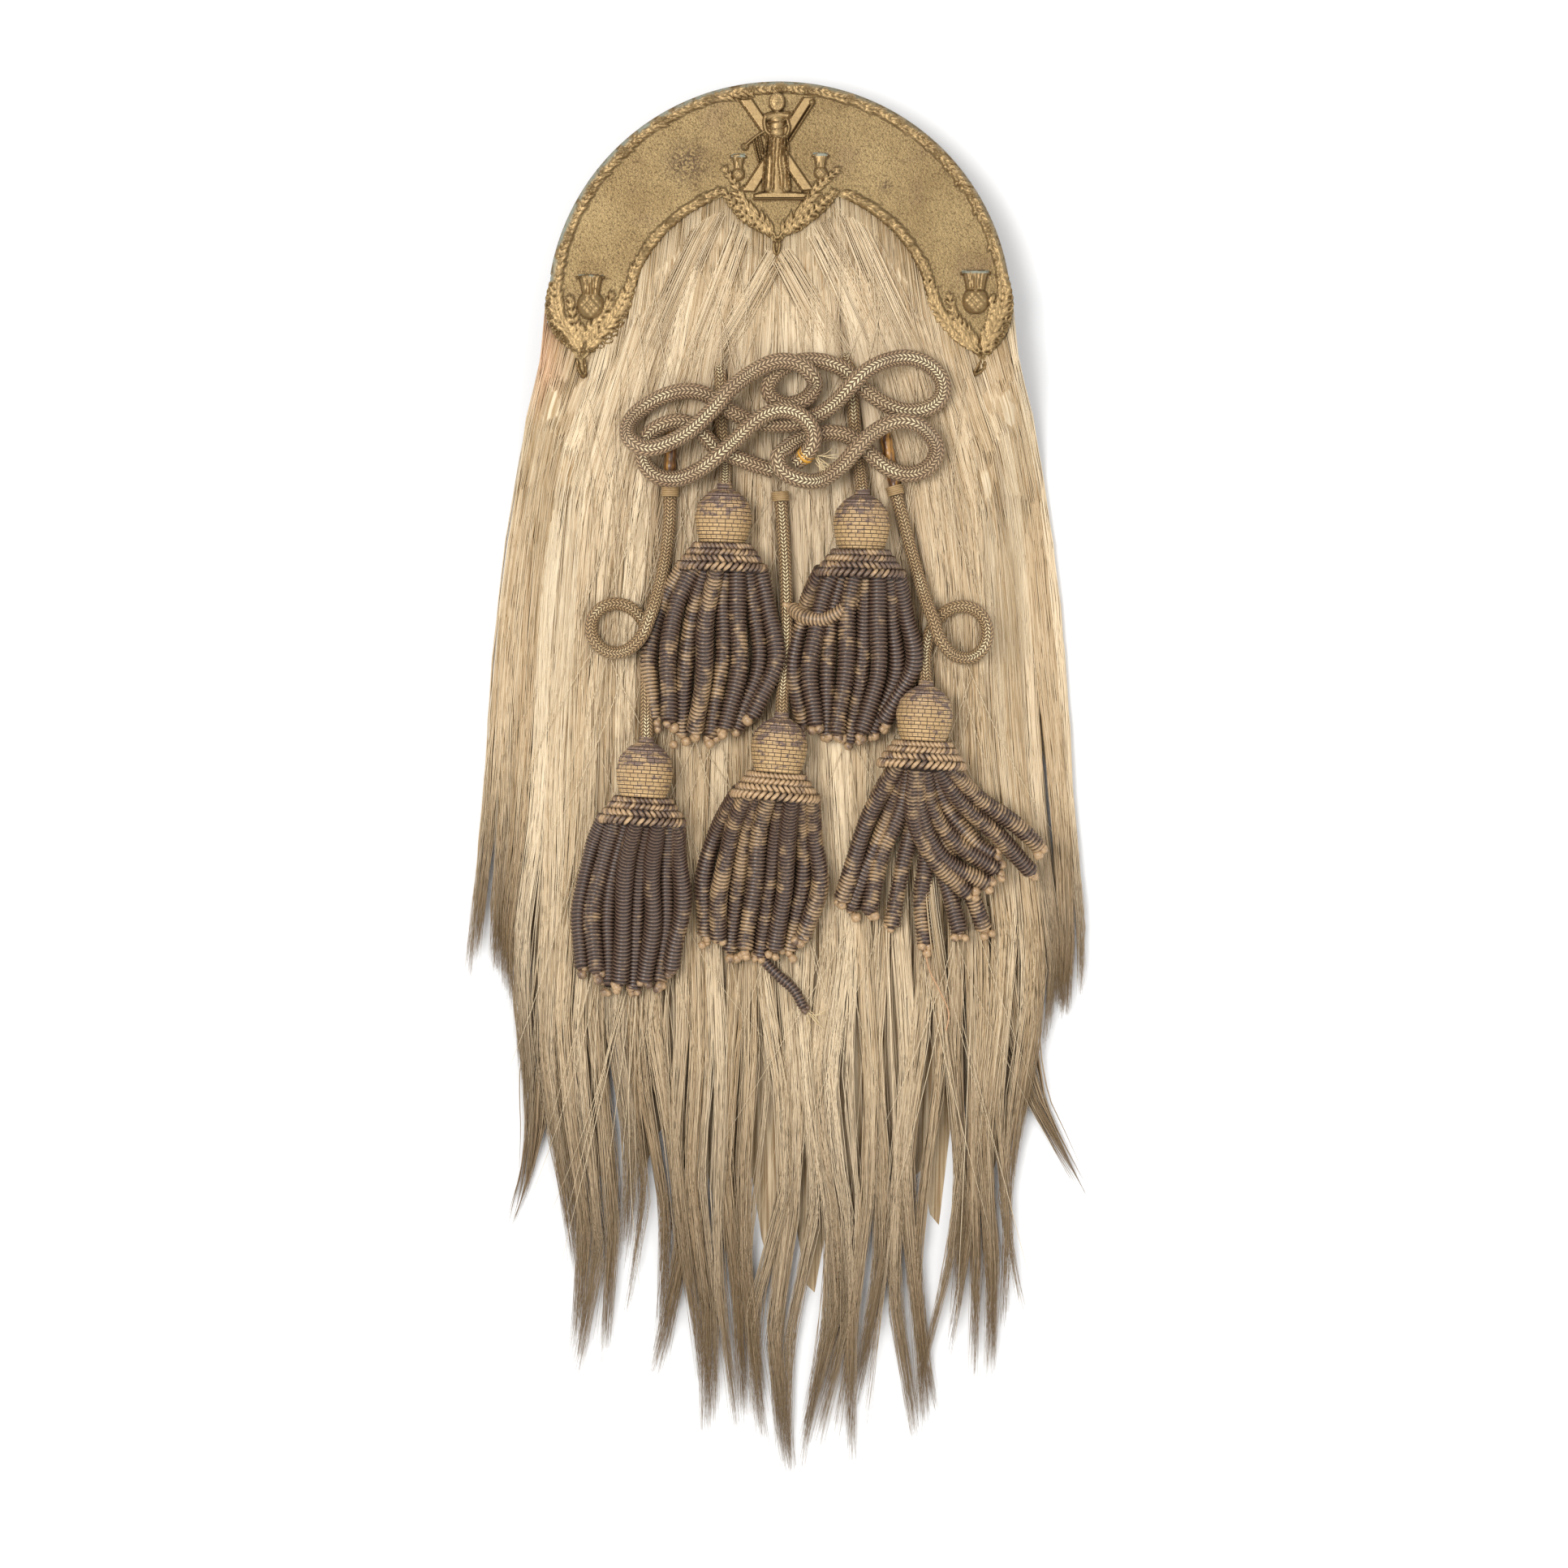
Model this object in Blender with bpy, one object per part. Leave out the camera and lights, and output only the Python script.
"""A full-dress sporran pouch, lying on its back: a stamped brass cantle, a hollow leather bag,
a long fall of horsehair, three knots of braided cord and five bullion tassels.

Metres, +Z up. The front of the pouch faces +Z and its top +Y. Places on the front are given as
(across, down): across from the middle line, down from the top of the cantle."""

import math

import bmesh
import bpy
from mathutils import Vector
from mathutils.geometry import interpolate_bezier

# Driving dimensions, in metres
LENGTH = 0.620  # top of the cantle to the longest hair
CLEARANCE = 0.0003  # between pieces that touch

LOOP_WIDTH = 0.026  # belt loop, along the strap
LOOP_LENGTH = 0.046
LOOP_LEATHER = 0.0018
LOOP_SLOT = 0.0048
LOOP_SPACING = 0.090
LOOP_DOWN = 0.085  # middle of the loops, below the top of the cantle

POUCH_DEPTH = 0.018
POUCH_LENGTH = 0.240
POUCH_LEATHER = 0.0020
POUCH_FOOT_WIDTH = 0.156
POUCH_FOOT_CURVE = 0.052  # height of the round foot
POUCH_EDGE = 0.0050  # rounding of the front and back edges
# The rounding: (height above the back, how far inside the outline), in shares of POUCH_EDGE
POUCH_EDGE_PROFILE = [(0.0, 0.7), (0.3, 0.2), (0.9, 0.0)]
CAVITY_INSET = 0.3  # how much deeper the hollow lies than the wall, in shares of POUCH_EDGE
MOUTH_WIDTH = 0.110
MOUTH_HEIGHT = 0.020
MOUTH_DOWN = 0.030

CANTLE_RADIUS = 0.102
CANTLE_SHEET = 0.0016
FLANGE_DEPTH = 0.021
OUTER_ROLL_WIDTH = 0.0066
INNER_ROLL_WIDTH = 0.0054
ROLL_HEIGHT = 0.0024
BAR_WIDTH = 0.0046
FIGURE_HEIGHT = 0.0034  # relief of the standing figure
LEAF_HEIGHT = 0.0017
RELIEF_SINK = 0.0007  # how far each raised form is let into the sheet
RELIEF_BACK = 0.84  # width of its back, as a share of its own

HAIR_UNDER_CANTLE = 0.0030
HAIR_LOFT = 0.0090  # thickness of the upper hair over the pouch
HAIR_WIDTH = 0.272
HAIR_TIP = 0.0016
HAIR_TUCK = 0.0060  # how far the upper hair reaches under the cantle
HAIR_CLEAR = 0.0020  # where it is free of the cantle's edge
HAIR_RISE = 0.0090  # how soon it swells to its full loft below that
HAIR_COLUMN = 0.0100  # greatest spacing of its columns at the cantle
LONG_HAIR_START = 0.150

KNOT_CORD = 0.0072
TASSEL_CORD = 0.0057
WHIPPING_CORD_OVER = 0.0022  # how much thicker a whipping is than its cord
WHIPPING_LENGTH = 0.0042

HEAD_GAP = 0.0011  # from the middle of the cord's rising end to the head
HEAD_RADIUS = 0.0126
HEAD_LENGTH = 0.0240
HEAD_FLATNESS = 0.86
COLLAR_RADIUS = 0.0168
COLLAR_LENGTH = 0.0108
COLLAR_FLATNESS = 0.72
SKIRT_LENGTH = 0.0730
SKIRT_SPREAD = 0.0300
STRAND = 0.0076  # thickness of a bullion strand

# Heights of the stack, from the surface it lies on
POUCH_BACK = LOOP_SLOT + 2 * LOOP_LEATHER + CLEARANCE
POUCH_FRONT = POUCH_BACK + POUCH_DEPTH
HAIR_BACK = POUCH_FRONT + CLEARANCE
CANTLE_BACK = HAIR_BACK + HAIR_UNDER_CANTLE + CLEARANCE
CANTLE_FRONT = CANTLE_BACK + CANTLE_SHEET
POUCH_RADIUS = CANTLE_RADIUS - CANTLE_SHEET - 2 * CLEARANCE

# The cantle's side sprays: (across, up) from the centre of its circle, in shares of CANTLE_RADIUS
LEFT_SPRAY = [
    (-0.976, 0.171), (-1.010, 0.007), (-0.997, -0.045), (-0.965, -0.115), (-0.913, -0.167),
    (-0.871, -0.205), (-0.854, -0.268), (-0.836, -0.202), (-0.791, -0.171), (-0.739, -0.132),
    (-0.669, -0.045), (-0.617, 0.094),
]
RIGHT_SPRAY = [
    (0.620, 0.094), (0.645, 0.010), (0.694, -0.059), (0.772, -0.136), (0.846, -0.178), (0.858, -0.265),
    (0.886, -0.200), (0.949, -0.126), (0.996, -0.021), (1.006, 0.044), (0.985, 0.154), (0.978, 0.208),
]
# The shield between the two arcs of hair, with its drop, in the same shares
SHIELD = [
    (-0.199, 0.436), (-0.094, 0.373), (-0.031, 0.331), (-0.012, 0.258), (0.014, 0.331), (0.098, 0.373),
    (0.195, 0.436),
]
ARC_RADIUS_SHARE = 0.530
ARC_CENTRE_SHARE = 0.094
ARC_UP_SHARE = 0.007
ARC_START_DEGREES = 15
ARC_END_DEGREES = 74
# The rolled borders: how far in their middle lies in shares of their width, where the outer one starts
# and how far it sweeps, and the width and height of its narrow places as shares of the full ones
ROLL_INSET = 0.56
ROLL_START_DEGREES = 9
ROLL_SWEEP_DEGREES = 163
ROLL_NARROW = 0.84
ROLL_LOW = 0.74

# Raised leaves on the sprays and the shield: (across, up) at the root and the tip, in shares of
# CANTLE_RADIUS, then the width as a share of the leaf's length. Each is made on both sides.
LEAVES = [
    (0.640, 0.120, 0.700, 0.030, 0.42), (0.660, 0.200, 0.740, 0.110, 0.40),
    (0.700, 0.020, 0.760, -0.080, 0.42), (0.960, 0.160, 0.900, 0.060, 0.42),
    (0.975, 0.060, 0.930, -0.070, 0.40), (0.900, -0.020, 0.860, -0.120, 0.42),
    (0.760, -0.020, 0.800, -0.120, 0.42), (0.190, 0.520, 0.120, 0.430, 0.40),
    (0.150, 0.560, 0.060, 0.470, 0.36), (0.090, 0.440, 0.030, 0.370, 0.40),
    (0.240, 0.600, 0.180, 0.520, 0.40),
]
# Outline of a leaf: (share of its length, share of its width, share of LEAF_HEIGHT)
LEAF_OUTLINE = [(0.0, 0.45, 0.7), (0.35, 1.0, 1.0), (0.7, 0.8, 0.8), (1.0, 0.12, 0.3)]
# Thistles: (across, up) of the cup's top, half width of the cup, length, in the same shares
THISTLES = [
    (-0.824, 0.157, 0.060, 0.175), (0.828, 0.174, 0.060, 0.175),
    (-0.180, 0.676, 0.033, 0.100), (0.176, 0.676, 0.033, 0.100),
]
THISTLE_RISE = 0.36  # height of a thistle, as a share of its own width there
# Outline of a thistle: (share of its length, share of its half width)
THISTLE_OUTLINE = [(0.00, 1.00), (0.16, 0.72), (0.34, 0.62), (0.52, 0.95), (0.76, 0.90), (1.00, 0.30)]
# The crossed bars behind the figure: (across, up) at the top and the foot, in the same shares
BARS = [(-0.143, 0.915, 0.118, 0.522), (0.122, 0.915, -0.118, 0.522)]
# The draped figure: (up in shares of CANTLE_RADIUS, half width and height in shares of its own)
FIGURE_TOP = 0.855
FIGURE_FOOT = 0.528
FIGURE_HALF_WIDTH = 0.058
FIGURE_ACROSS = -0.005
FIGURE_OUTLINE = [
    (0.00, 0.30, 0.55), (0.07, 0.78, 0.80), (0.18, 0.92, 0.95), (0.34, 0.66, 1.00), (0.50, 0.72, 0.92),
    (0.78, 0.84, 0.86), (1.00, 1.00, 0.80),
]
HEAD_SHARE = (0.036, 0.043)  # half width and half length of the figure's head
HEAD_UP = 0.902
# Outline of the head, an egg: (along from its middle, half width), in shares of its own
HEAD_EGG = [(-0.95, 0.35), (-0.6, 0.8), (0.0, 1.0), (0.6, 0.8), (0.95, 0.35)]
PLINTH = (-0.118, 0.108, 0.508, 0.027)  # left, right, middle height and width
PLINTH_HEIGHT = 0.00216
BAR_HEIGHTS = (0.00132, 0.00180)  # the second bar lies over the first

# The upper hair: (down in shares of LENGTH, half width in shares of HAIR_WIDTH / 2)
HAIR_OUTLINE = [
    (0.00, 0.745), (0.170, 0.748), (0.200, 0.770), (0.230, 0.812), (0.287, 0.860), (0.345, 0.895),
    (0.402, 0.922), (0.460, 0.945), (0.517, 0.965), (0.575, 0.988), (0.630, 1.000), (0.700, 0.985),
]
# The long hair: the same columns
LONG_HAIR_OUTLINE = [
    (0.00, 0.600), (0.400, 0.640), (0.520, 0.760), (0.690, 0.835), (0.718, 0.800), (0.750, 0.792),
    (0.815, 0.795), (0.860, 0.802), (0.890, 0.770), (1.000, 0.700),
]
# How the hair sinks past the pouch's foot: (down in shares of LENGTH, height in shares of HAIR_BACK)
HAIR_FALL = [(0.400, 1.00), (0.440, 0.90), (0.500, 0.55), (0.560, 0.18), (0.600, 0.00)]
# Height of the upper hair above that, in shares of HAIR_LOFT
UPPER_LOFT = [(0.00, 1.00), (0.440, 1.00), (0.500, 1.20), (0.560, 1.45), (0.600, 1.60), (0.700, 1.30)]
UPPER_LIFT = [(0.00, 0.00), (0.440, 0.00), (0.500, 0.25), (0.560, 0.55), (0.600, 0.75), (0.700, 0.85)]
LONG_LOFT = [(0.00, 0.55), (0.500, 0.70), (0.600, 1.30), (0.700, 1.45), (0.800, 1.10), (1.000, 0.50)]
HAIR_SIDE_MARGIN = 0.0110
HAIR_SIDE_FALL = 0.020
SIDE_THINNING = 0.55  # how much thinner the fall is at its sides
PARTING = 0.45  # height of a parting, as a share of a full lock's
LOCK_ENDS = (0.35, 0.68, 1.0)  # rows of a lock below the pouch's foot, as shares of the rest of it
UPPER_ROWS = (0.260, 0.330)  # further rows of the upper hair, in shares of LENGTH
LONG_ROWS = (0.0, 0.040, 0.080)  # first rows of the long hair, from LONG_HAIR_START

EDGE_SAMPLES = [step / 10 for step in range(-10, 11)]

# Locks of the upper hair: (side in shares of the half width, tip in shares of LENGTH, fullness)
UPPER_LOCKS = [
    (-1.000, 0.640, 0.25), (-0.930, 0.663, 0.70), (-0.860, 0.668, 0.95), (-0.800, 0.640, 0.80),
    (-0.720, 0.672, 1.00), (-0.640, 0.650, 0.85), (-0.570, 0.684, 1.00), (-0.480, 0.660, 0.88),
    (-0.390, 0.690, 1.00), (-0.310, 0.668, 0.90), (-0.240, 0.694, 1.00), (-0.160, 0.672, 0.92),
    (-0.080, 0.696, 1.00), (0.000, 0.680, 0.90), (0.080, 0.698, 1.00), (0.160, 0.672, 0.92),
    (0.240, 0.692, 1.00), (0.310, 0.670, 0.90), (0.390, 0.690, 1.00), (0.480, 0.662, 0.88),
    (0.570, 0.688, 1.00), (0.640, 0.655, 0.85), (0.720, 0.680, 1.00), (0.800, 0.650, 0.80),
    (0.860, 0.684, 0.95), (0.930, 0.682, 0.70), (1.000, 0.650, 0.25),
]
# Locks of the long hair, in the same columns
LONG_LOCKS = [
    (-1.000, 0.880, 0.30), (-0.910, 0.918, 0.90), (-0.830, 0.890, 0.60), (-0.740, 0.930, 1.00),
    (-0.640, 0.840, 0.45), (-0.560, 0.880, 0.70), (-0.500, 0.929, 1.00), (-0.410, 0.900, 0.65),
    (-0.310, 0.955, 1.00), (-0.220, 0.925, 0.70), (-0.130, 0.976, 1.00), (-0.050, 0.955, 0.75),
    (0.040, 0.993, 1.00), (0.095, 0.970, 0.75), (0.150, 1.000, 1.00), (0.200, 0.965, 0.75),
    (0.260, 0.988, 1.00), (0.330, 0.945, 0.70), (0.410, 0.971, 1.00), (0.480, 0.935, 0.70),
    (0.540, 0.944, 0.85), (0.640, 0.954, 1.00), (0.730, 0.900, 0.45), (0.820, 0.937, 1.00),
    (0.880, 0.895, 0.60), (0.940, 0.912, 0.85), (1.000, 0.875, 0.30),
]
# Locks that flare away from the sides: (across in shares of HAIR_WIDTH / 2, down in shares of LENGTH)
FLARES = [
    [(-0.76, 0.660), (-0.80, 0.715), (-0.81, 0.765), (-0.880, 0.815)],
    [(0.76, 0.650), (0.80, 0.700), (0.90, 0.750), (0.985, 0.794)],
]
FLARE_WIDTH = 0.016
# How a flaring lock narrows: (share of its length, share of FLARE_WIDTH, height in shares of HAIR_LOFT)
FLARE_TAPER = [(0.0, 1.0, 0.8), (1.0, 0.15, 0.2)]
# Its section: (across in shares of its width, up in shares of its height)
FLARE_SECTION = ((-0.5, 0.0), (0.5, 0.0), (0.32, 1.0), (-0.32, 1.0))

# Routes of the knotted cord, in millimetres: (across, down, level), where level 1 passes over level 0
KNOT_ROUTES = {
    "knot_upper": [
        (13.6, 138.4, 0.0), (15.6, 133.9, 0.2), (13.5, 129.5, 0.8), (8.5, 125.6, 1.0), (1.8, 124.2, 1.0),
        (-5.0, 125.6, 0.9), (-13.5, 130.2, 0.6), (-21.4, 136.7, 1.0), (-28.5, 144.8, 1.0),
        (-37.4, 153.4, 1.0), (-46.3, 159.1, 1.0), (-56.2, 162.3, 1.0), (-63.0, 160.1, 0.75),
        (-66.2, 154.8, 0.1), (-64.1, 148.4, -0.4), (-56.9, 142.3, -0.4), (-46.6, 137.7, -0.2),
        (-37.4, 137.0, 0.0), (-30.6, 139.1, 0.0), (-24.9, 143.1, 0.0), (-18.9, 147.0, 0.0),
        (-10.7, 150.4, 0.0), (-1.8, 151.4, 0.0), (7.1, 151.0, 0.0), (16.2, 147.6, 0.0), (24.2, 142.3, 0.4),
        (32.0, 134.2, 1.0), (39.1, 127.8, 0.8), (48.0, 123.5, 0.3), (56.9, 122.4, 0.0), (65.8, 125.6, -0.4),
        (71.2, 132.4, -0.6), (70.5, 139.5, -0.6), (64.1, 144.5, -0.4), (55.2, 145.6, -0.1),
        (46.6, 142.7, 0.0), (39.1, 137.7, 0.0), (33.1, 132.4, 0.0), (28.5, 127.8, 0.0), (21.4, 124.6, 0.0),
        (14.2, 123.5, 0.0), (7.8, 124.2, 0.0), (1.4, 127.0, 0.0), (-3.2, 131.4, 0.0), (-4.6, 136.6, 0.0),
        (-1.8, 140.8, 0.0), (3.4, 142.6, 0.0), (9.0, 141.6, 0.0),
    ],
    "knot_lower_left": [
        (7.8, 168.0, 0.2), (11.7, 164.8, 0.6), (14.9, 159.4, 1.0), (14.2, 153.7, 1.0), (9.3, 148.0, 1.0),
        (1.8, 145.6, 1.0), (-5.3, 147.3, 1.0), (-12.5, 152.3, 1.0), (-19.6, 159.1, 0.8),
        (-26.7, 165.5, 1.0), (-35.6, 171.9, 0.5), (-44.5, 175.1, 0.0), (-53.0, 174.0, -0.2),
        (-58.4, 169.0, -0.3), (-59.4, 162.6, -0.2), (-56.9, 155.9, -0.1), (-50.5, 151.6, 0.0),
        (-43.4, 150.2, 0.0), (-37.4, 152.0, 0.0), (-32.4, 156.6, 0.0), (-27.4, 161.9, 0.0),
        (-19.6, 165.5, 0.0), (-11.4, 168.7, 0.0), (-2.5, 171.5, 0.0),
    ],
    "knot_lower_right": [
        (14.6, 156.4, 0.0), (8.5, 158.4, 0.0), (3.6, 161.6, 0.3), (-0.6, 166.2, 0.9), (1.4, 171.8, 1.0),
        (8.9, 175.8, 0.8), (17.8, 175.8, 0.3), (26.7, 170.1, 0.5), (33.8, 162.3, 1.0), (40.9, 155.5, 0.9),
        (49.8, 150.9, 1.0), (57.7, 150.9, 0.9), (64.8, 155.2, 0.2), (68.7, 162.3, -0.3), (65.1, 169.8, -0.4),
        (56.9, 173.0, -0.3), (48.0, 170.8, -0.1), (41.3, 165.8, 0.0), (35.6, 160.1, 0.0), (29.2, 156.2, 0.0),
        (23.2, 155.0, 0.0), (19.0, 155.4, 0.0),
    ],
}
# Routes of the cords that carry the tassels, in the same columns. Here level 1 is CORD_OVER thicknesses up.
CORD_OVER = 1.15
CORD_ROUTES = {
    "upper_left": [
        (-26.3, 125.3, 0.0), (-25.6, 131.7, 0.0), (-25.6, 144.1, 0.0), (-24.6, 158.4, 0.0),
        (-23.6, 169.0, 0.0), (-23.8, 178.3, 0.9),
    ],
    "upper_right": [
        (29.2, 121.0, 0.0), (30.6, 127.4, 0.0), (32.0, 139.5, 0.0), (33.1, 153.0, 0.0), (34.9, 168.0, 0.0),
        (36.3, 181.1, 0.9),
    ],
    "lower_left": [
        (-47.7, 182.9, 0.0), (-48.0, 194.0, 0.0), (-49.5, 208.2, 0.0), (-52.3, 222.4, 0.4),
        (-56.2, 234.9, 1.0), (-60.5, 244.5, 1.0), (-67.6, 250.2, 0.4), (-75.4, 250.2, 0.0),
        (-81.1, 244.8, 0.0), (-81.9, 237.0, 0.0), (-77.2, 231.0, 0.0), (-70.1, 229.5, 0.0),
        (-63.0, 232.7, 0.0), (-58.4, 239.5, 0.0), (-56.9, 249.1, 0.0), (-58.0, 263.3, 0.0),
        (-58.0, 277.6, 0.3), (-58.0, 289.0, 0.9),
    ],
    "lower_middle": [
        (0.7, 184.9, 0.0), (1.8, 199.3, 0.0), (2.8, 217.1, 0.0), (3.2, 234.9, 0.0), (2.5, 254.4, 0.0),
        (1.4, 268.7, 0.3), (1.1, 278.3, 0.9),
    ],
    "lower_right": [
        (51.2, 182.2, 0.0), (54.4, 194.0, 0.0), (58.7, 210.0, 0.0), (63.3, 226.0, 0.5), (66.9, 235.9, 1.0),
        (70.5, 245.6, 1.0), (76.5, 252.0, 0.4), (84.3, 252.7, 0.0), (90.0, 247.3, 0.0), (90.7, 239.1, 0.0),
        (86.5, 232.7, 0.0), (79.0, 230.6, 0.0), (71.5, 233.8, 0.0), (66.5, 240.6, 0.0), (64.1, 249.1, 0.0),
        (63.7, 256.0, 0.3), (64.1, 264.4, 0.9),
    ],
}
WHIPPED = ("lower_left", "lower_middle", "lower_right")
# The skirts: lean in degrees, reach in shares of SKIRT_LENGTH, then the left and right sides at the
# middle and at the foot, in shares of SKIRT_SPREAD
SKIRTS = {
    "upper_left": (-2.0, 1.00, -0.74, 0.72, -0.80, 0.60),
    "upper_right": (-1.5, 0.95, -0.80, 0.68, -0.62, 0.34),
    "lower_left": (-3.3, 1.00, -0.79, 0.68, -0.70, 0.53),
    "lower_middle": (-4.5, 0.97, -0.78, 0.66, -0.92, 0.60),
    "lower_right": (-3.0, 1.00, 0.0, 0.0, 0.0, 0.0),
}
SKIRT_STRANDS = 7
SKIRT_ROOTS = 0.72  # how wide the strands spread inside the collar, as a share of its radius
STRAND_TUCK = 0.3  # how far they reach up into it, as a share of its length
SIDE_SHORTER = 0.10  # how much shorter the outer strands are
ODD_SHORTER = 0.03  # and every other one
STRAND_LEVELS = (0.5, 0.95)  # heights at which they lie, in shares of their thickness
SPLAYED_LEVELS = (0.55, 0.80)
STRAND_ROLL = 0.4  # turn of each strand's facets past the last, in radians
STRAND_SWELL = (0.9, 1.0, 1.05, 0.85)  # thickness from root to end, in shares of STRAND
# The inside of a skirt: (share of its reach, left and right sides in shares of SKIRT_SPREAD) at its
# root, how far it reaches below that, and where the lower right one ends
HEART_ROOT = (-0.04, -0.45, 0.45)
HEART_REACH = (0.5, 0.88)
SPLAYED_HEART = (0.20, -0.36, 0.36)
# The splayed strands of the lower right tassel, in millimetres: (across, down)
SPLAYED_STRANDS = [
    [(56.6, 300), (46, 314), (33, 336), (28.5, 362)],
    [(57.6, 300), (51, 316), (42, 340), (34, 367)],
    [(59.0, 301), (57, 318), (49, 340), (38.5, 366)],
    [(60.0, 302), (58, 324), (54, 349), (48, 373)],
    [(61.0, 302), (62, 330), (63, 356), (64.5, 379)],
    [(62.5, 301), (72, 315), (84, 329), (94.5, 346)],
    [(63.5, 300), (78, 315), (95, 332), (112, 348)],
    [(65.0, 299), (83, 314), (99, 326), (115, 337)],
    [(61.5, 302), (66, 326), (78, 336), (92.5, 344)],
    [(61.0, 302), (64, 332), (77, 345), (89, 352)],
    [(61.5, 302), (66, 332), (73, 354), (80, 374)],
    [(62.0, 301), (72, 332), (83, 354), (90, 373)],
    [(58.5, 301), (54, 322), (44, 347), (40.5, 370)],
]

# Rings from one end of a tassel's head to the other: (share of its length, share of its radius)
HEAD_PROFILE = [
    (0.00, 0.30), (0.10, 0.62), (0.28, 0.90), (0.52, 1.00), (0.76, 0.93), (0.92, 0.84), (1.00, 0.76),
]
WHIPPING_PROFILE = [(0.0, 0.86), (0.2, 1.0), (0.8, 1.0), (1.0, 0.86)]
COLLAR_PROFILE = [
    (0.00, 0.74), (0.16, 0.90), (0.38, 0.84), (0.58, 0.98), (0.74, 0.88), (0.88, 1.00), (1.00, 0.90),
]


def clear_scene():
    for obj in list(bpy.data.objects):
        bpy.data.objects.remove(obj, do_unlink=True)


def place(across, down, height):
    """A point in the part's own frame, whose origin is on the surface below the middle."""
    return Vector((across, LENGTH / 2 - down, height))


def on_cantle(across, up, height):
    """A point on the cantle, from shares of its radius."""
    return place(across * CANTLE_RADIUS, (1 - up) * CANTLE_RADIUS, height)


def lookup(rows, at):
    """Reads a table of (place, value) rows, straight between its rows and level past its ends."""
    if at <= rows[0][0]:
        return rows[0][1]
    for (low, first), (high, second) in zip(rows, rows[1:]):
        if at <= high:
            return first + (second - first) * (at - low) / (high - low)
    return rows[-1][1]


def smooth_route(route, spacing, closed):
    """Points about `spacing` apart along a smooth curve through the route's own points."""
    points = [Vector(point) for point in route]
    count = len(points)
    curve = []
    for index in range(count if closed else count - 1):
        here, there = points[index], points[(index + 1) % count]
        before = points[index - 1] if closed or index else here
        after = points[(index + 2) % count] if closed or index + 2 < count else there
        span = (there - here).length
        leave = (there - before).normalized() * span / 3
        arrive = (after - here).normalized() * span / 3
        curve += interpolate_bezier(here, here + leave, there - arrive, there, 17)[:-1]
    curve.append(points[0] if closed else points[-1])
    reach = [0.0]
    for first, second in zip(curve, curve[1:]):
        reach.append(reach[-1] + (second - first).length)
    steps = max(2, round(reach[-1] / spacing))
    found = []
    for step in range(steps if closed else steps + 1):
        goal = reach[-1] * step / steps
        index = max(1, next(i for i, value in enumerate(reach) if value >= goal - 1e-12))
        share = (goal - reach[index - 1]) / (reach[index] - reach[index - 1])
        found.append(curve[index - 1].lerp(curve[index], share))
    return found


def make_material(name, colour, roughness, metallic=0.0):
    material = bpy.data.materials.new(name)
    material.use_nodes = True
    shader = material.node_tree.nodes["Principled BSDF"]
    shader.inputs["Base Color"].default_value = (*colour, 1.0)
    shader.inputs["Roughness"].default_value = roughness
    shader.inputs["Metallic"].default_value = metallic
    return material


def make_object(name, data, material):
    data.materials.append(material)
    obj = bpy.data.objects.new(name, data)
    bpy.context.scene.collection.objects.link(obj)
    return obj


def mesh_object(name, bm, material, smooth_below=40):
    """Turns a bmesh into an object, with its faces outward and its round parts shaded smooth."""
    bmesh.ops.recalc_face_normals(bm, faces=bm.faces)
    mesh = bpy.data.meshes.new(name)
    bm.to_mesh(mesh)
    bm.free()
    mesh.shade_smooth()
    mesh.set_sharp_from_angle(angle=math.radians(smooth_below))
    return make_object(name, mesh, material)


def add_rings(bm, rings):
    """Joins rings of points in order and closes both ends."""
    loops = [[bm.verts.new(point) for point in ring] for ring in rings]
    for first, second in zip(loops, loops[1:]):
        for index in range(len(first)):
            after = (index + 1) % len(first)
            bm.faces.new((first[index], first[after], second[after], second[index]))
    bm.faces.new(loops[0])
    bm.faces.new(reversed(loops[-1]))


def ringed_object(name, rings, material, smooth_below=40):
    bm = bmesh.new()
    add_rings(bm, rings)
    return mesh_object(name, bm, material, smooth_below)


def extruded_object(name, outline, low, high, material):
    rings = [[Vector((point.x, point.y, height)) for point in outline] for height in (low, high)]
    return ringed_object(name, rings, material, 20)


def combine(obj, helpers, operation):
    """Joins helper objects to an object, or cuts them from it, in one Boolean."""
    group = bpy.data.collections.new(f"{obj.name}_{operation.lower()}")
    bpy.context.scene.collection.children.link(group)
    for helper in helpers:
        bpy.context.scene.collection.objects.unlink(helper)
        group.objects.link(helper)
        helper.hide_render = True
        helper.display_type = "WIRE"
    modifier = obj.modifiers.new(operation.title(), "BOOLEAN")
    modifier.operation = operation
    modifier.solver = "EXACT"
    modifier.operand_type = "COLLECTION"
    modifier.collection = group
    return obj


def box_object(name, low, high, material):
    corners = ((low.x, low.y), (high.x, low.y), (high.x, high.y), (low.x, high.y))
    outline = [Vector(corner) for corner in corners]
    return extruded_object(name, outline, low.z, high.z, material)


def make_belt_loop(name, across, leather):
    """A flat leather loop behind the pouch, with its slot for the strap along X."""
    height = LOOP_SLOT + 2 * LOOP_LEATHER
    middle = place(across, LOOP_DOWN, height / 2)
    half = Vector((LOOP_WIDTH, LOOP_LENGTH, height)) / 2
    slot = Vector((LOOP_WIDTH + LOOP_LEATHER, LOOP_LENGTH / 2 - LOOP_LEATHER * 2, LOOP_SLOT / 2))
    loop = box_object(name, middle - half, middle + half, leather)
    return combine(loop, [box_object(f"{name}_slot", middle - slot, middle + slot, leather)], "DIFFERENCE")


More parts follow.
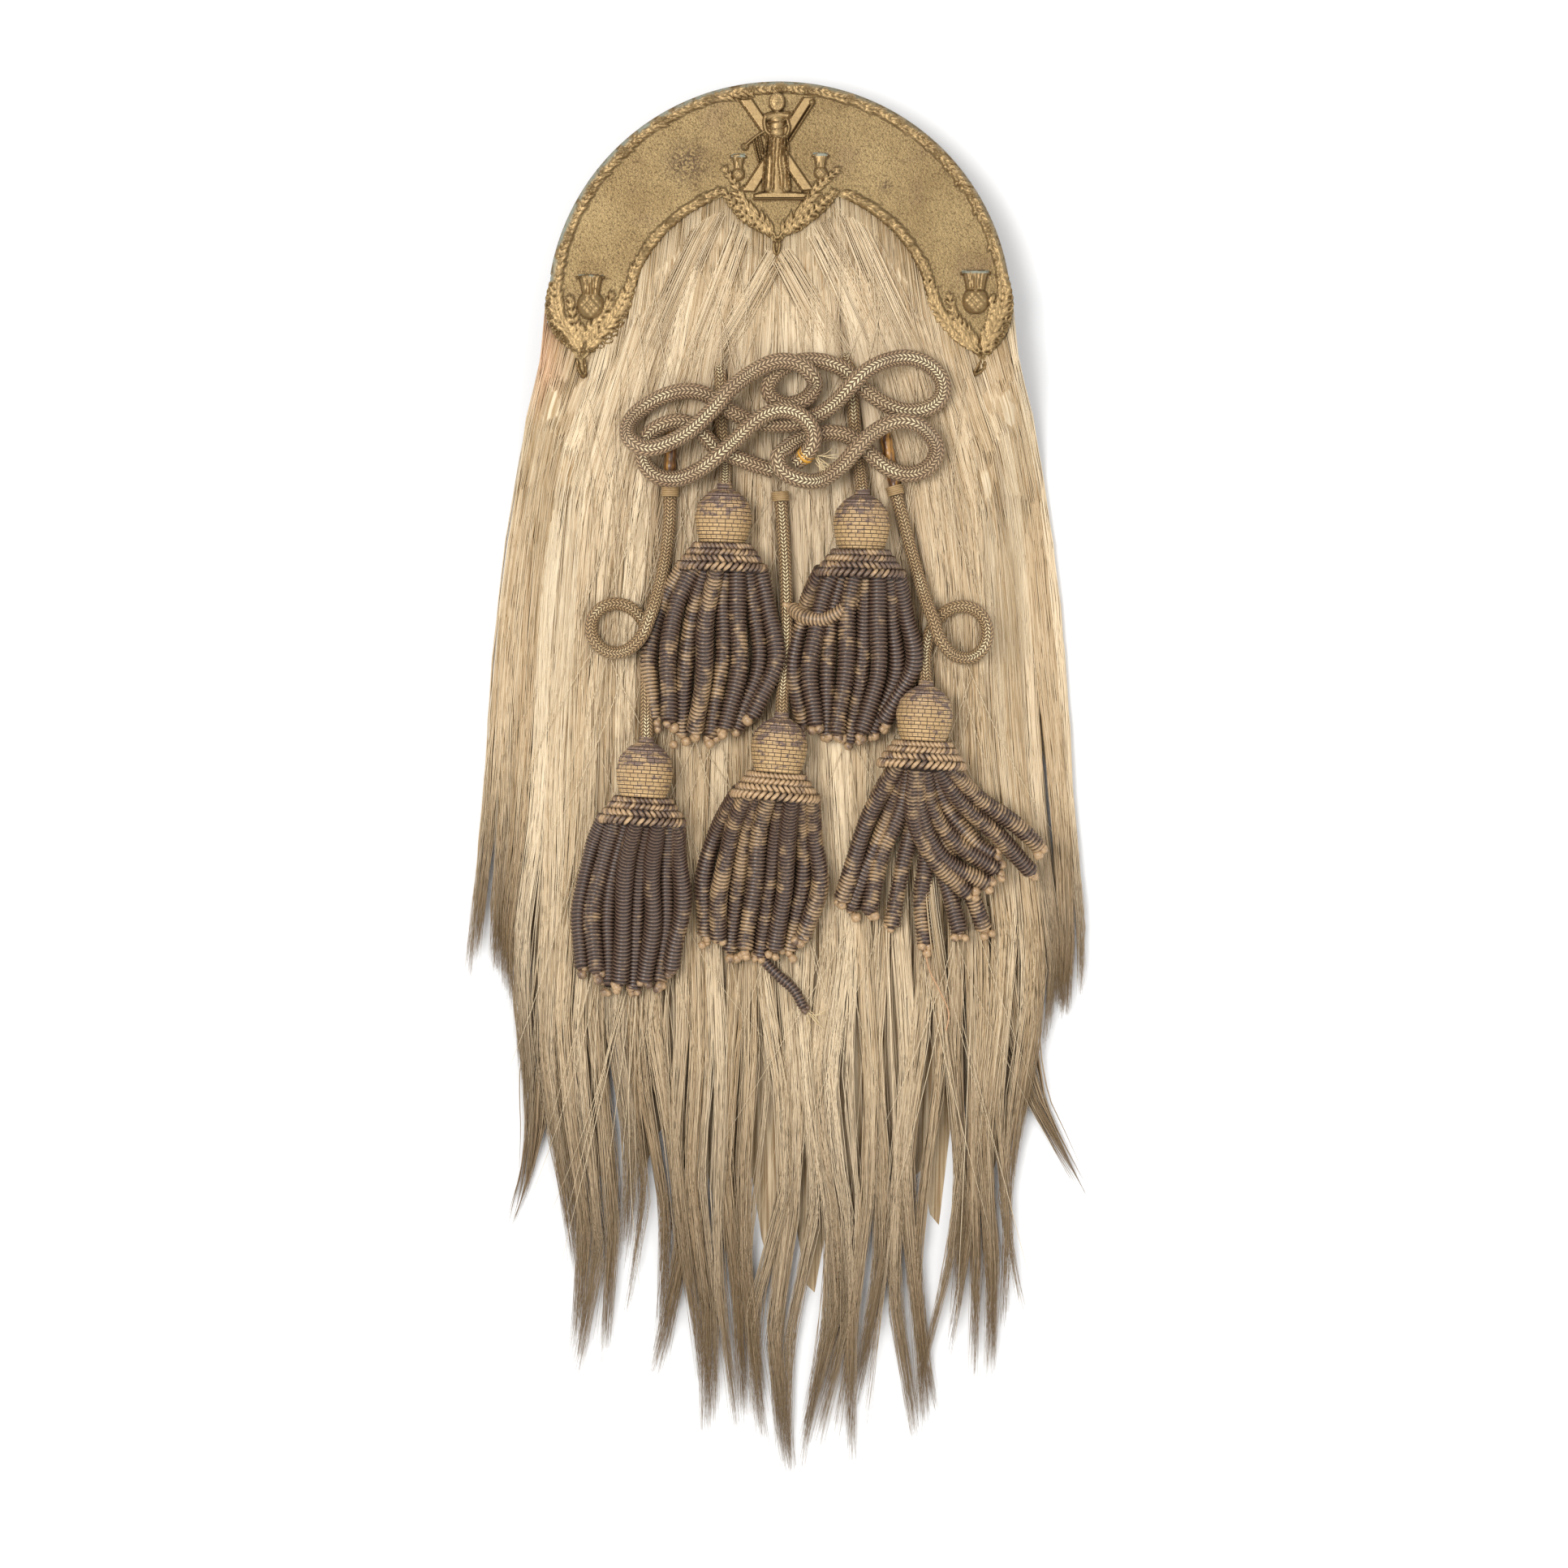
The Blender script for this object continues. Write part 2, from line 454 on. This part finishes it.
def pouch_outline(inset):
    """The bag seen from the front: round inside the cantle, tapering to a round foot."""
    points = []
    radius = POUCH_RADIUS - inset
    for step in range(15):
        angle = math.pi * step / 14
        points.append(place(radius * math.cos(angle), CANTLE_RADIUS - radius * math.sin(angle), 0))
    half = POUCH_FOOT_WIDTH / 2 - inset
    for step in range(11):
        angle = math.pi * step / 10
        down = POUCH_LENGTH - POUCH_FOOT_CURVE + (POUCH_FOOT_CURVE - inset) * math.sin(angle)
        points.append(place(-half * math.cos(angle), down, 0))
    return points


def pouch_half_width(down):
    foot_start = POUCH_LENGTH - POUCH_FOOT_CURVE
    if down <= foot_start:
        return lookup([(CANTLE_RADIUS, POUCH_RADIUS), (foot_start, POUCH_FOOT_WIDTH / 2)], down)
    share = min(1.0, (down - foot_start) / POUCH_FOOT_CURVE)
    return POUCH_FOOT_WIDTH / 2 * math.sqrt(1 - share * share)


def make_pouch(leather):
    """The hollow bag, with its mouth in the back wall behind the cantle."""
    sections = [(height * POUCH_EDGE, inset * POUCH_EDGE) for height, inset in POUCH_EDGE_PROFILE]
    sections += [(POUCH_DEPTH - height, inset) for height, inset in reversed(sections)]
    rings = []
    for height, inset in sections:
        rings.append([Vector((p.x, p.y, POUCH_BACK + height)) for p in pouch_outline(inset)])
    pouch = ringed_object("pouch", rings, leather)
    hollow = [Vector((p.x, p.y)) for p in pouch_outline(POUCH_LEATHER + POUCH_EDGE * CAVITY_INSET)]
    low = POUCH_BACK + POUCH_LEATHER
    high = POUCH_FRONT - POUCH_LEATHER
    cavity = extruded_object("pouch_cavity", hollow, low, high, leather)
    mouth_low = place(-MOUTH_WIDTH / 2, MOUTH_DOWN + MOUTH_HEIGHT, POUCH_BACK - POUCH_LEATHER)
    mouth_high = place(MOUTH_WIDTH / 2, MOUTH_DOWN, (low + high) / 2)
    mouth = box_object("pouch_mouth", mouth_low, mouth_high, leather)
    return combine(pouch, [cavity, mouth], "DIFFERENCE")


def inner_arc(side, steps):
    """The sheet's edge over the hair on one side, from the spray up to the shield: shares of the radius."""
    points = []
    for step in range(steps + 1):
        angle = math.radians(ARC_START_DEGREES + (ARC_END_DEGREES - ARC_START_DEGREES) * step / steps)
        across = ARC_CENTRE_SHARE + ARC_RADIUS_SHARE * math.cos(angle)
        points.append((side * across, ARC_UP_SHARE + ARC_RADIUS_SHARE * math.sin(angle)))
    return points


def cantle_outline():
    """The whole sheet, from the right flange end over the top and back along its lower edge."""
    first = math.atan2(RIGHT_SPRAY[-1][1], RIGHT_SPRAY[-1][0])
    last = math.atan2(LEFT_SPRAY[0][1], LEFT_SPRAY[0][0])
    top = []
    for step in range(1, 32):
        angle = first + (last - first) * step / 32
        top.append((math.cos(angle), math.sin(angle)))
    lower = LEFT_SPRAY + inner_arc(-1, 9) + SHIELD + inner_arc(1, 9)[::-1] + RIGHT_SPRAY
    return [on_cantle(across, up, 0) for across, up in top + lower]


def relief(name, path, widths, heights, brass, facets=4):
    """A raised form along a path on the cantle: round across, with its back let into the sheet."""
    rings = []
    for index, point in enumerate(path):
        before = path[max(0, index - 1)]
        after = path[min(len(path) - 1, index + 1)]
        along = (after - before).normalized()
        side = Vector((-along.y, along.x, 0))
        ring = []
        for facet in range(facets + 1):
            angle = math.pi * facet / facets
            height = CANTLE_FRONT + heights[index] * math.sin(angle)
            ring.append(point + side * widths[index] / 2 * math.cos(angle) + Vector((0, 0, height)))
        back = Vector((0, 0, CANTLE_FRONT - RELIEF_SINK))
        ring.append(point - side * widths[index] * RELIEF_BACK / 2 + back)
        ring.append(point + side * widths[index] * RELIEF_BACK / 2 + back)
        rings.append(ring)
    return ringed_object(name, rings, brass)


def make_roll(name, shares, width, brass):
    """A leafy roll border: its width and height swell and shrink from leaf to leaf."""
    path = [on_cantle(across, up, 0) for across, up in shares]
    widths = [width * (1.0 if index % 2 else ROLL_NARROW) for index in range(len(path))]
    heights = [ROLL_HEIGHT * (1.0 if index % 2 else ROLL_LOW) for index in range(len(path))]
    return relief(name, path, widths, heights, brass)


def roll_shares():
    """Paths of the outer roll and of the two inner rolls, half a roll inside the sheet's edge."""
    inset = OUTER_ROLL_WIDTH * ROLL_INSET / CANTLE_RADIUS
    outer = []
    for step in range(41):
        angle = math.radians(ROLL_START_DEGREES + ROLL_SWEEP_DEGREES * step / 40)
        outer.append(((1 - inset) * math.cos(angle), (1 - inset) * math.sin(angle)))
    raise_by = 1 + INNER_ROLL_WIDTH * ROLL_INSET / CANTLE_RADIUS / ARC_RADIUS_SHARE
    inner = []
    for side in (-1, 1):
        arc = []
        for across, up in inner_arc(1, 18)[:-1]:
            from_centre = across - ARC_CENTRE_SHARE
            arc_up = ARC_UP_SHARE + (up - ARC_UP_SHARE) * raise_by
            arc.append((side * (ARC_CENTRE_SHARE + from_centre * raise_by), arc_up))
        inner.append(arc)
    return outer, inner


def make_thistle(name, across, up, half_width, length, brass):
    path = [on_cantle(across, up - length * share, 0) for share, _ in THISTLE_OUTLINE]
    widths = [2 * half_width * share * CANTLE_RADIUS for _, share in THISTLE_OUTLINE]
    heights = [width * THISTLE_RISE for width in widths]
    return relief(name, path, widths, heights, brass)


def make_figure(brass):
    """The draped standing figure: robe and plinth. Its head is a plain egg."""
    tall = FIGURE_TOP - FIGURE_FOOT
    path = [on_cantle(FIGURE_ACROSS, FIGURE_TOP - tall * row[0], 0) for row in FIGURE_OUTLINE]
    widths = [2 * FIGURE_HALF_WIDTH * CANTLE_RADIUS * row[1] for row in FIGURE_OUTLINE]
    heights = [FIGURE_HEIGHT * row[2] for row in FIGURE_OUTLINE]
    robe = relief("figure_robe", path, widths, heights, brass)
    half_width, half_length = HEAD_SHARE
    path = [on_cantle(FIGURE_ACROSS, HEAD_UP - half_length * along, 0) for along, _ in HEAD_EGG]
    widths = [2 * half_width * CANTLE_RADIUS * wide for _, wide in HEAD_EGG]
    heights = [FIGURE_HEIGHT * (1 + wide) / 2 for _, wide in HEAD_EGG]
    head = relief("figure_head", path, widths, heights, brass)
    left, right, up, width = PLINTH
    path = [on_cantle(across, up, 0) for across in (left, right)]
    plinth = relief("figure_plinth", path, [width * CANTLE_RADIUS] * 2, [PLINTH_HEIGHT] * 2, brass, 3)
    return [robe, head, plinth]


def make_leaf(name, row, side, brass):
    across, up, tip_across, tip_up, width = row
    root = on_cantle(side * across, up, 0)
    tip = on_cantle(side * tip_across, tip_up, 0)
    length = (tip - root).length
    path = [root.lerp(tip, share) for share, _, _ in LEAF_OUTLINE]
    widths = [length * width * wide for _, wide, _ in LEAF_OUTLINE]
    heights = [LEAF_HEIGHT * high for _, _, high in LEAF_OUTLINE]
    return relief(name, path, widths, heights, brass, 2)


def make_cantle(brass):
    """The stamped sheet with its flange round the bag's top and its raised work, all one piece."""
    cantle = extruded_object("cantle", cantle_outline(), CANTLE_BACK, CANTLE_FRONT, brass)
    first = math.degrees(math.atan2(RIGHT_SPRAY[-1][1], RIGHT_SPRAY[-1][0])) + 0.5
    last = math.degrees(math.atan2(LEFT_SPRAY[0][1], LEFT_SPRAY[0][0])) - 0.5
    outer = CANTLE_RADIUS - CLEARANCE / 2
    inner = CANTLE_RADIUS - CANTLE_SHEET
    rings = []
    for step in range(29):
        angle = math.radians(first + (last - first) * step / 28)
        ring = []
        for radius, height in ((inner, 0), (outer, 0), (outer, 1), (inner, 1)):
            low = CANTLE_BACK - FLANGE_DEPTH
            level = low + (CANTLE_FRONT - CANTLE_SHEET / 2 - low) * height
            ring.append(place(radius * math.cos(angle), CANTLE_RADIUS - radius * math.sin(angle), level))
        rings.append(ring)
    pieces = [ringed_object("cantle_flange", rings, brass)]
    outer_roll, inner_rolls = roll_shares()
    pieces.append(make_roll("outer_roll", outer_roll, OUTER_ROLL_WIDTH, brass))
    for index, shares in enumerate(inner_rolls):
        pieces.append(make_roll(f"inner_roll_{index}", shares, INNER_ROLL_WIDTH, brass))
    for index, (across, up, foot_across, foot_up) in enumerate(BARS):
        path = [on_cantle(across, up, 0), on_cantle(foot_across, foot_up, 0)]
        pieces.append(relief(f"bar_{index}", path, [BAR_WIDTH] * 2, [BAR_HEIGHTS[index]] * 2, brass, 3))
    pieces += make_figure(brass)
    for index, row in enumerate(THISTLES):
        pieces.append(make_thistle(f"thistle_{index}", *row, brass))
    for side in (-1, 1):
        for index, row in enumerate(LEAVES):
            pieces.append(make_leaf(f"leaf_{index}_{side}", row, side, brass))
    return combine(cantle, pieces, "UNION")


def hair_edge(across):
    """How far down the cantle's lower edge is, at a place across it."""
    share = across / CANTLE_RADIUS
    side = 1 if share > 0 else -1
    spray = LEFT_SPRAY[1:] if side < 0 else RIGHT_SPRAY[:-1]
    rows = spray + inner_arc(side, 18) + [point for point in SHIELD if point[0] * side > 0] + [(0.0, 0.258)]
    rows = sorted((abs(place), up) for place, up in rows)
    return (1 - lookup(rows, abs(share))) * CANTLE_RADIUS


def hair_base(across, down):
    """The height of the underside of the hair: on the pouch, then down past its sides and its foot."""
    height = HAIR_BACK * lookup(HAIR_FALL, down / LENGTH)
    beyond = abs(across) - pouch_half_width(min(down, POUCH_LENGTH - POUCH_FOOT_CURVE)) - HAIR_SIDE_MARGIN
    return height * max(0.0, 1 - max(0.0, beyond) / HAIR_SIDE_FALL)


def hair_surface(down):
    """The height of the full locks of the upper hair, on which cords and tassels lie."""
    share = down / LENGTH
    return HAIR_BACK * lookup(HAIR_FALL, share) + HAIR_LOFT * lookup(UPPER_LOFT, share)


def hair_layer(name, locks, outline, loft, lift, starts, clamped, material):
    """One tier of hair: a column for each lock or parting, thin at its tip, from its root down.
    Its first `clamped` rows are pressed flat under the cantle."""
    upper, lower = [], []
    for (side, tip, fullness), start in zip(locks, starts):
        tip_down = tip * LENGTH
        downs = list(start)
        downs += [share * LENGTH for share, _ in HAIR_FALL if share * LENGTH > start[-1] + 0.01]
        downs += [downs[-1] + (tip_down - downs[-1]) * share for share in LOCK_ENDS]
        top_column, low_column = [], []
        for index, down in enumerate(downs):
            share = down / LENGTH
            across = side * lookup(outline, share) * HAIR_WIDTH / 2
            base = hair_base(across, down)
            under = HAIR_LOFT * lookup(lift, share) * (1 - abs(side) ** 4)
            full = HAIR_LOFT * lookup(loft, share) * (1 - SIDE_THINNING * abs(side) ** 6)
            full *= PARTING + (1 - PARTING) * fullness
            if index < clamped:
                full = HAIR_UNDER_CANTLE
            elif index >= len(downs) - 2:
                full = under + (full - under) * (0.8 if index == len(downs) - 2 else 0.0) + HAIR_TIP
            top_column.append(place(across, down, base + full))
            low_column.append(place(across, down, base + min(under, full - HAIR_TIP * 0.6)))
        upper.append(top_column)
        lower.append(low_column)
    bm = bmesh.new()
    sheets = [[[bm.verts.new(point) for point in column] for column in sheet] for sheet in (upper, lower)]
    last_column, last_row = len(upper) - 1, len(upper[0]) - 1
    for sheet in sheets:
        for column in range(last_column):
            for row in range(last_row):
                near, far = sheet[column], sheet[column + 1]
                bm.faces.new((near[row], near[row + 1], far[row + 1], far[row]))
    top, low = sheets
    for column in range(last_column):
        for row in (0, last_row):
            bm.faces.new((top[column][row], top[column + 1][row], low[column + 1][row], low[column][row]))
    for column in (0, last_column):
        for row in range(last_row):
            bm.faces.new((top[column][row], top[column][row + 1], low[column][row + 1], low[column][row]))
    return mesh_object(name, bm, material)


def make_flare(name, route, material):
    """A loose lock on the surface, beside the long hair."""
    half = HAIR_WIDTH / 2
    path = [place(across * half, down * LENGTH, 0) for across, down in route]
    rings = []
    points = smooth_route(path, FLARE_WIDTH, False)
    for index, point in enumerate(points):
        share = index / (len(points) - 1)
        width = FLARE_WIDTH * lookup([(run, wide) for run, wide, _ in FLARE_TAPER], share)
        height = HAIR_LOFT * lookup([(run, high) for run, _, high in FLARE_TAPER], share)
        ring = []
        for across, up in FLARE_SECTION:
            ring.append(point + Vector((across * width, 0, HAIR_TIP / 4 + up * height)))
        rings.append(ring)
    return ringed_object(name, rings, material)


def make_hair(material):
    """The whole fall: the short upper tier over the long one, with two locks that flare out."""
    starts = []
    for side, _, _ in UPPER_LOCKS:
        across = side * lookup(HAIR_OUTLINE, 0) * HAIR_WIDTH / 2
        edges = [hair_edge(across + HAIR_COLUMN * share) for share in EDGE_SAMPLES]
        free = max(edges) + HAIR_CLEAR
        further = [share * LENGTH for share in UPPER_ROWS]
        starts.append((min(edges) - HAIR_TUCK, free, free + HAIR_RISE, *further))
    upper = hair_layer("hair_fall", UPPER_LOCKS, HAIR_OUTLINE, UPPER_LOFT, UPPER_LIFT, starts, 2, material)
    starts = [[LONG_HAIR_START + row for row in LONG_ROWS]] * len(LONG_LOCKS)
    flat = [(0.0, 0.0), (1.0, 0.0)]
    long_hair = hair_layer("hair_long", LONG_LOCKS, LONG_HAIR_OUTLINE, LONG_LOFT, flat, starts, 0, material)
    flares = [make_flare(f"hair_flare_{index}", route, material) for index, route in enumerate(FLARES)]
    return combine(upper, [long_hair, *flares], "UNION")


def cord_object(name, points, thickness, material, closed):
    """A cord as a curve with a round bevel."""
    curve = bpy.data.curves.new(name, "CURVE")
    curve.dimensions = "3D"
    curve.bevel_depth = thickness / 2
    curve.bevel_resolution = 2
    curve.use_fill_caps = not closed
    spline = curve.splines.new("POLY")
    spline.points.add(len(points) - 1)
    for target, point in zip(spline.points, points):
        target.co = (*point, 1.0)
    spline.use_cyclic_u = closed
    return make_object(name, curve, material)


def knot_height(level):
    """The height of the knots' cord: level 0 lies on the tassel cords, level 1 crosses over it."""
    lowest = hair_surface(CANTLE_RADIUS * 1.5) + TASSEL_CORD + 3 * CLEARANCE + KNOT_CORD / 2
    return lowest + level * (KNOT_CORD + 2 * CLEARANCE)


def make_knot(name, material):
    route = [place(x / 1000, down / 1000, knot_height(level)) for x, down, level in KNOT_ROUTES[name]]
    closed = name != "knot_lower_left"
    return cord_object(name, smooth_route(route, KNOT_CORD * 1.2, closed), KNOT_CORD, material, closed)


def cord_points(name):
    """The middle line of a tassel cord. It lies on the hair, and its end rises to the tassel's head."""
    route = [Vector((x / 1000, down / 1000, level)) for x, down, level in CORD_ROUTES[name]]
    flat = smooth_route([Vector((p.x, p.y, p.z * TASSEL_CORD)) for p in route], TASSEL_CORD * 2, False)
    points = []
    for point in flat:
        height = hair_surface(point.y) + 2 * CLEARANCE + TASSEL_CORD / 2
        points.append(place(point.x, point.y, height + point.z * CORD_OVER))
    return points


def turned_rings(start, along, profile, length, radius, flatness, sides=12):
    """Rings of a turned form whose axis lies level, flattened in height."""
    side = Vector((along.y, -along.x, 0))
    rings = []
    for share, wide in profile:
        middle = start + along * length * share
        ring = []
        for step in range(sides):
            angle = 2 * math.pi * (step + 0.5) / sides
            offset = side * math.cos(angle) + Vector((0, 0, flatness * math.sin(angle)))
            ring.append(middle + offset * radius * wide)
        rings.append(ring)
    return rings


def make_whipping(name, cord_points, material):
    """A few turns of thread where a cord leaves the knots."""
    radius = (TASSEL_CORD + WHIPPING_CORD_OVER) / 2
    along = (cord_points[1] - cord_points[0]).normalized()
    start = cord_points[0] - along * (CLEARANCE + WHIPPING_LENGTH)
    start.z = hair_surface(LENGTH / 2 - start.y) + 2 * CLEARANCE + radius
    along.z = 0
    rings = turned_rings(start, along, WHIPPING_PROFILE, WHIPPING_LENGTH, radius, 1, 8)
    return ringed_object(name, rings, material)


def tassel_axis(name):
    lean = math.radians(SKIRTS[name][0])
    return Vector((math.sin(lean), -math.cos(lean), 0))


def strand_rings(path, roll):
    """A bullion strand: an even tube with a blunt end."""
    rings = []
    points = smooth_route(path, (path[-1] - path[0]).length / 3, False)
    for index, point in enumerate(points):
        before = points[max(0, index - 1)]
        after = points[min(len(points) - 1, index + 1)]
        along = (after - before).normalized()
        side = along.cross(Vector((0, 0, 1))).normalized()
        up = side.cross(along)
        wide = STRAND_SWELL[index]
        ring = []
        for step in range(5):
            angle = roll + 2 * math.pi * step / 5
            ring.append(point + (side * math.cos(angle) + up * math.sin(angle)) * STRAND / 2 * wide)
        rings.append(ring)
    return rings


def skirt_paths(name, foot, along):
    """The strands' middle lines: spread evenly from the collar, or splayed as listed."""
    if name == "lower_right":
        paths = []
        for index, route in enumerate(SPLAYED_STRANDS):
            path = []
            for row, (x, down) in enumerate(route):
                on_hair = hair_surface(down / 1000) + 2 * CLEARANCE + STRAND * SPLAYED_LEVELS[index % 2]
                path.append(place(x / 1000, down / 1000, foot.z if row == 0 else on_hair))
            paths.append(path)
        return paths
    _, reach, middle_left, middle_right, foot_left, foot_right = SKIRTS[name]
    side = Vector((-along.y, along.x, 0))
    paths = []
    for index in range(SKIRT_STRANDS):
        share = index / (SKIRT_STRANDS - 1)
        shorter = SIDE_SHORTER * (2 * share - 1) ** 2 + ODD_SHORTER * (index % 2)
        length = SKIRT_LENGTH * reach * (1 - shorter)
        middle = SKIRT_SPREAD * (middle_left + (middle_right - middle_left) * share)
        end = SKIRT_SPREAD * (foot_left + (foot_right - foot_left) * share)
        root = COLLAR_RADIUS * SKIRT_ROOTS * (2 * share - 1)
        path = [foot + side * root - along * COLLAR_LENGTH * STRAND_TUCK]
        for sideways, run in ((middle, 0.5), (end, 1.0)):
            point = foot + side * sideways + along * length * run
            down = LENGTH / 2 - point.y
            point.z = hair_surface(down) + 2 * CLEARANCE + STRAND * STRAND_LEVELS[index % 2]
            path.append(point)
        paths.append(path)
    return paths


def heart_rings(name, foot, along):
    """The inside of a skirt, which its strands lie round."""
    _, reach, middle_left, middle_right, foot_left, foot_right = SKIRTS[name]
    side = Vector((-along.y, along.x, 0))
    middle_run, foot_run = HEART_REACH
    stations = [HEART_ROOT, (middle_run, middle_left, middle_right), (foot_run, foot_left, foot_right)]
    if name == "lower_right":
        stations = [HEART_ROOT, SPLAYED_HEART]
    rings = []
    for index, (run, left, right) in enumerate(stations):
        middle = foot + side * SKIRT_SPREAD * (left + right) / 2 + along * SKIRT_LENGTH * reach * run
        half_height = STRAND * (1.0 if index == 0 else 0.5)
        if index > 0:
            middle.z = hair_surface(LENGTH / 2 - middle.y) + 2 * CLEARANCE + STRAND * 0.75
        half_width = SKIRT_SPREAD * (right - left) / 2
        ring = []
        for step in range(8):
            angle = 2 * math.pi * (step + 0.5) / 8
            rise = Vector((0, 0, half_height * math.sin(angle)))
            ring.append(middle + side * half_width * math.cos(angle) + rise)
        rings.append(ring)
    return rings


def make_tassel(name, materials):
    """The wound head at the end of its cord, then the collar and its skirt of strands."""
    cord_end = cord_points(name)[-1]
    along = tassel_axis(name)
    start = cord_end + along * HEAD_GAP
    start.z = hair_surface(LENGTH / 2 - cord_end.y) + CLEARANCE + HEAD_RADIUS * HEAD_FLATNESS
    head_rings = turned_rings(start, along, HEAD_PROFILE, HEAD_LENGTH, HEAD_RADIUS, HEAD_FLATNESS)
    ringed_object(f"tassel_head_{name}", head_rings, materials["gold"])
    collar = start + along * (HEAD_LENGTH + CLEARANCE)
    collar.z = hair_surface(LENGTH / 2 - collar.y) + CLEARANCE + COLLAR_RADIUS * COLLAR_FLATNESS
    collar_rings = turned_rings(collar, along, COLLAR_PROFILE, COLLAR_LENGTH, COLLAR_RADIUS, COLLAR_FLATNESS)
    skirt = ringed_object(f"tassel_skirt_{name}", collar_rings, materials["bullion"])
    foot = collar + along * COLLAR_LENGTH
    pieces = [ringed_object(f"{name}_heart", heart_rings(name, foot, along), materials["bullion"])]
    for index, path in enumerate(skirt_paths(name, foot, along)):
        rings = strand_rings(path, index * STRAND_ROLL)
        pieces.append(ringed_object(f"{name}_strand_{index}", rings, materials["bullion"]))
    combine(skirt, pieces, "UNION")


def make_materials():
    return {
        "brass": make_material("aged_brass", (0.36, 0.26, 0.12), 0.42, 1.0),
        "leather": make_material("black_leather", (0.035, 0.028, 0.024), 0.55),
        "hair": make_material("blond_horsehair", (0.62, 0.50, 0.32), 0.60),
        "cord": make_material("tarnished_braid", (0.30, 0.20, 0.12), 0.55),
        "gold": make_material("wound_gold_thread", (0.55, 0.38, 0.18), 0.50, 0.3),
        "bullion": make_material("tarnished_bullion", (0.11, 0.075, 0.07), 0.50, 0.3),
    }


def main():
    clear_scene()
    materials = make_materials()
    for name, side in (("left", -1), ("right", 1)):
        make_belt_loop(f"belt_loop_{name}", side * LOOP_SPACING / 2, materials["leather"])
    make_pouch(materials["leather"])
    make_cantle(materials["brass"])
    make_hair(materials["hair"])
    for name in KNOT_ROUTES:
        make_knot(name, materials["cord"])
    for name in CORD_ROUTES:
        points = cord_points(name)
        cord_object(f"cord_{name}", points, TASSEL_CORD, materials["cord"], False)
        if name in WHIPPED:
            make_whipping(f"whipping_{name}", points, materials["gold"])
        make_tassel(name, materials)


main()
